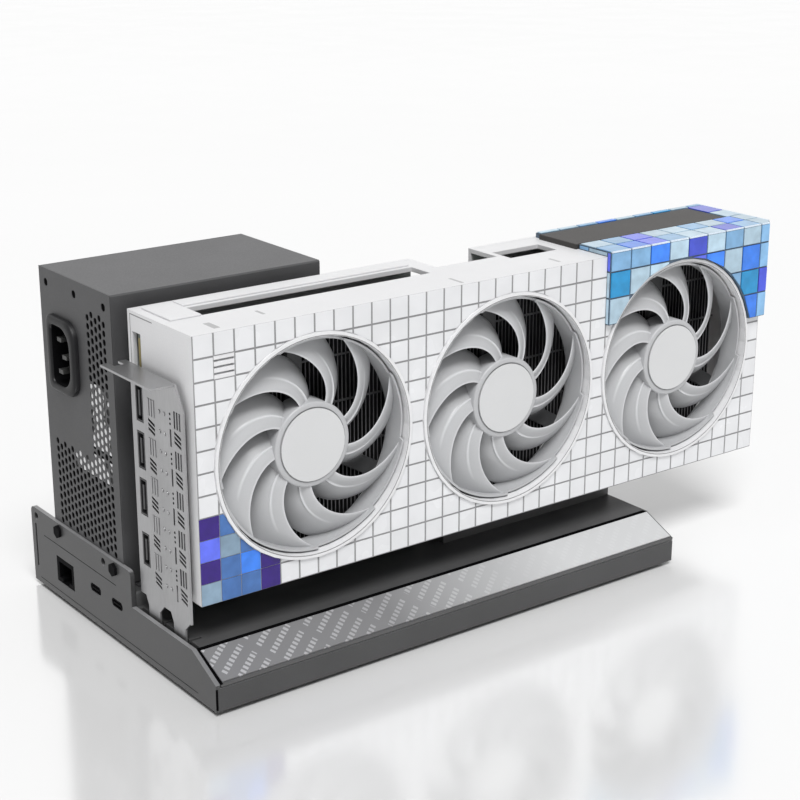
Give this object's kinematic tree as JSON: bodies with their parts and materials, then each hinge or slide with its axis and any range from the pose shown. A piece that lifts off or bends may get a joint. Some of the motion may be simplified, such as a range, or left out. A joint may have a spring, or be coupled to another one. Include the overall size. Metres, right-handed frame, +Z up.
{
  "type": "external graphics card enclosure",
  "caption": "Open dock with a graphics card standing in its slot and a compact power supply behind it; tiled white card with swept-blade fans",
  "frame": {"origin": "middle of the overall footprint, at table level", "axes": "+X along the card away from the bracket end, +Y from the fan face to the back, +Z up"},
  "size_m": [0.331, 0.16, 0.1532],
  "materials": {
    "dock_paint": "satin powder coat",
    "dock_plastic": "fine matte",
    "trim_print": "printed film",
    "pad_plastic": "granular",
    "rubber": "matte",
    "screw_steel": "blackened",
    "board_lacquer": "lacquered board",
    "standoff_brass": "bright",
    "chip_plastic": "moulded",
    "sink_aluminium": "extruded",
    "socket_plastic": "moulded",
    "port_steel": "plated",
    "shroud_white": "satin",
    "tile_glaze": "clear glaze over colour",
    "bar_plastic": "satin",
    "fin_black": "black coating",
    "bracket_steel": "satin",
    "fan_plastic": "satin",
    "cap_plastic": "satin",
    "motor_plastic": "moulded",
    "psu_paint": "fine matte",
    "winding": "taped"
  },
  "bodies": {
    "dock": {"base_tray": "dock_paint", "top_cover": "dock_plastic", "slope_trim": "trim_print", "psu_pad": "pad_plastic", "rubber_feet": "rubber", "cover_screws": "screw_steel", "psu_screws": "screw_steel", "main_board": "board_lacquer", "card_pcb": "board_lacquer", "psu_board": "board_lacquer", "board_standoffs": "standoff_brass", "m2_standoff": "standoff_brass", "inlet_pins": "standoff_brass", "cold_plate": "standoff_brass", "heat_pipes": "standoff_brass", "controller_chip": "chip_plastic", "gpu_chip": "chip_plastic", "controller_heatsink": "sink_aluminium", "psu_heatsink": "sink_aluminium", "m2_socket": "socket_plastic", "power_header": "socket_plastic", "pcie_slot": "socket_plastic", "card_power_socket": "socket_plastic", "mains_inlet": "socket_plastic", "psu_socket_panel": "socket_plastic", "rj45_jack": "port_steel", "usb_c_port_front": "port_steel", "usb_c_port_rear": "port_steel", "dp_port_1": "port_steel", "dp_port_2": "port_steel", "dp_port_3": "port_steel", "hdmi_port": "port_steel", "shroud": "shroud_white", "backplate": "shroud_white", "mosaic_cap": "tile_glaze", "top_bar": "bar_plastic", "fin_stack": "fin_black", "io_bracket": "bracket_steel", "fan_motor_left": "motor_plastic", "fan_motor_middle": "motor_plastic", "fan_motor_right": "motor_plastic", "psu_fan_frame": "motor_plastic", "psu_case": "psu_paint", "psu_cover": "psu_paint", "psu_transformer": "winding", "psu_capacitor": "winding"},
    "fan_left": {"fan_rotor_left": "fan_plastic", "hub_cap_left": "cap_plastic"},
    "fan_middle": {"fan_rotor_middle": "fan_plastic", "hub_cap_middle": "cap_plastic"},
    "fan_right": {"fan_rotor_right": "fan_plastic", "hub_cap_right": "cap_plastic"},
    "psu_fan": {"psu_fan_rotor": "motor_plastic"},
    "latch": {"slot_latch": "socket_plastic"}
  },
  "joints": [
    {"name": "fan_left_spin", "type": "hinge", "parent": "dock", "child": "fan_left", "pos_m": [-0.09675, -0.04755, 0.0935], "axis": [0, 1, 0], "continuous": true},
    {"name": "fan_middle_spin", "type": "hinge", "parent": "dock", "child": "fan_middle", "pos_m": [0.00445, -0.04755, 0.0935], "axis": [0, 1, 0], "continuous": true},
    {"name": "fan_right_spin", "type": "hinge", "parent": "dock", "child": "fan_right", "pos_m": [0.10565, -0.04755, 0.0935], "axis": [0, 1, 0], "continuous": true},
    {"name": "psu_fan_spin", "type": "hinge", "parent": "dock", "child": "psu_fan", "pos_m": [-0.09835, 0.046, 0.0907], "axis": [0, 1, 0], "continuous": true},
    {"name": "latch_turn", "type": "hinge", "parent": "dock", "child": "latch", "pos_m": [-0.01985, -0.01895, 0.01745], "axis": [0, 1, 0], "range_deg": [0, 22]}
  ]
}
